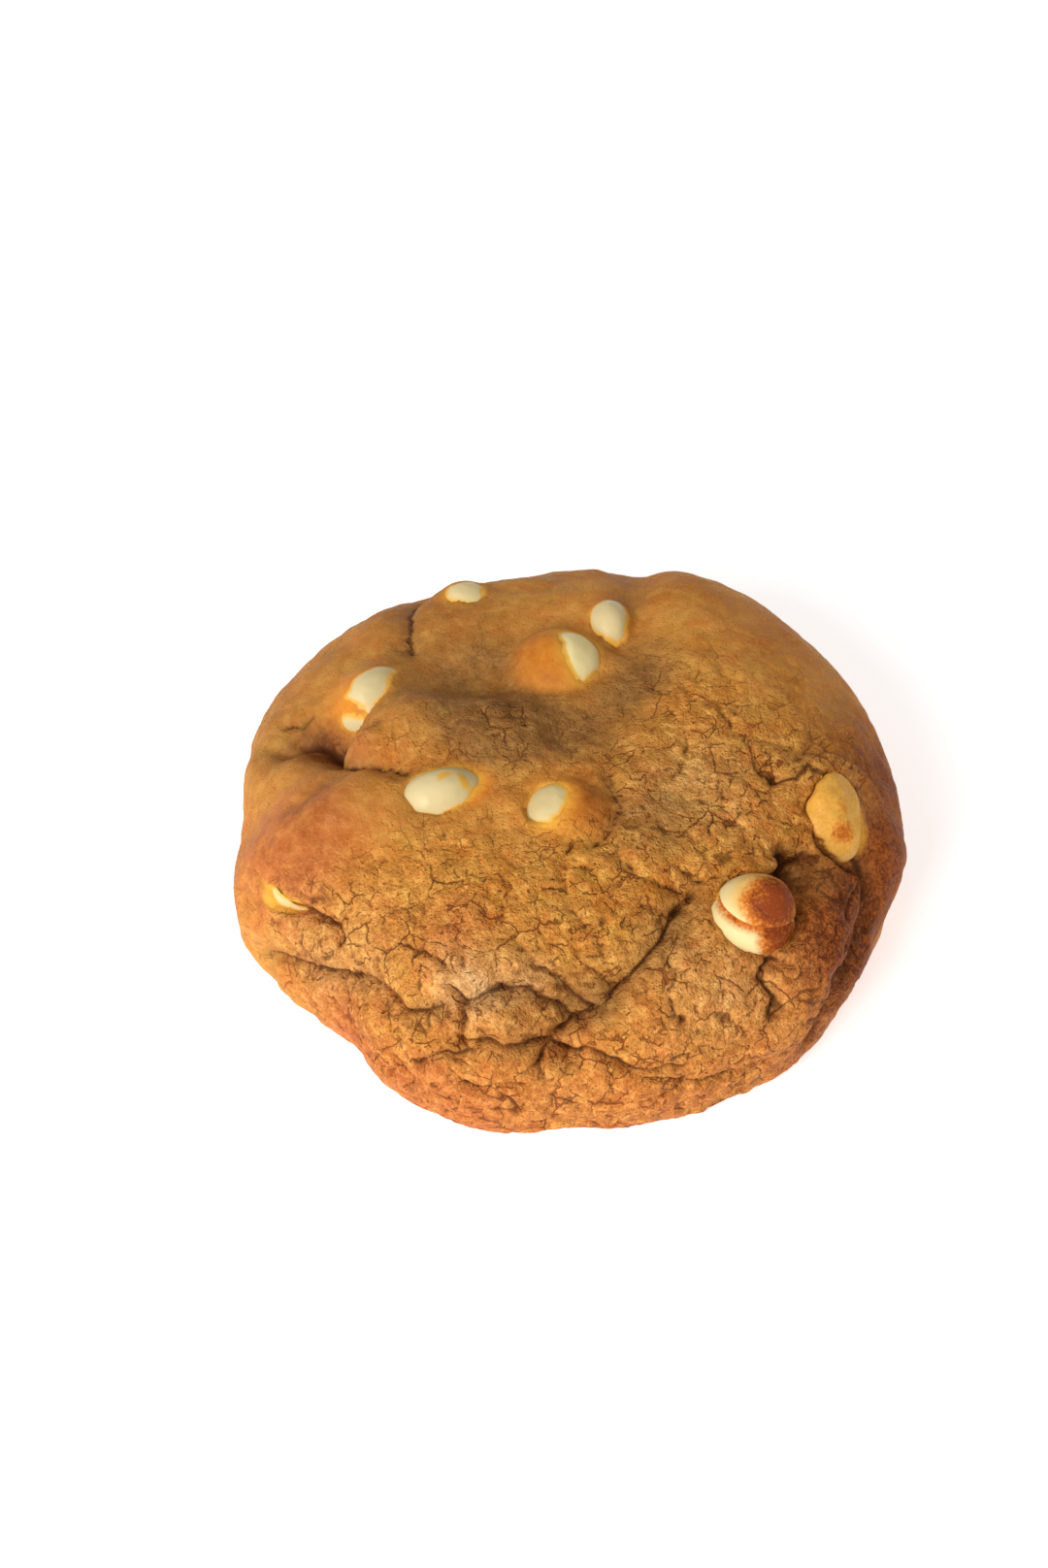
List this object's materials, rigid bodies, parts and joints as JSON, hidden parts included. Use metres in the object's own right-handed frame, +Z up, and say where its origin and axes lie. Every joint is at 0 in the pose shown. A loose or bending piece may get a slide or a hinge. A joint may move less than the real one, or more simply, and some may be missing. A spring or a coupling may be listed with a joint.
{
  "type": "chocolate chip cookie",
  "caption": "Thick round bakery cookie with a flat underside, a crackled lumpy golden crust and large white chocolate chips set in its top.",
  "frame": {"origin": "middle of the plan's bounding box, on the flat underside that the cookie rests on", "axes": "+Z up through the crust; -Y faces the viewer of the picture, +X is the viewer's right"},
  "size_m": [0.0938, 0.094, 0.0302],
  "materials": {
    "baked_dough": "baked golden crust, crackled and crumbly, with browned high spots and paler cracks",
    "white_chocolate": "soft cream-coloured white chocolate with a satin sheen and caramel edges",
    "toasted_chocolate": "white chocolate toasted brown on its tip, cracked and dry",
    "glazed_chocolate": "white chocolate under a thin caramel film with a cream window"
  },
  "bodies": {
    "root": {"dough": "baked_dough", "chip_back_rim": "white_chocolate", "chip_back_right": "white_chocolate", "chip_back_dome": "glazed_chocolate", "chip_left_hollow": "white_chocolate", "chip_middle_cone": "white_chocolate", "chip_middle_dome": "glazed_chocolate", "chip_right_flat": "toasted_chocolate", "chip_front_toasted": "toasted_chocolate", "chip_left_front": "white_chocolate"}
  },
  "joints": []
}
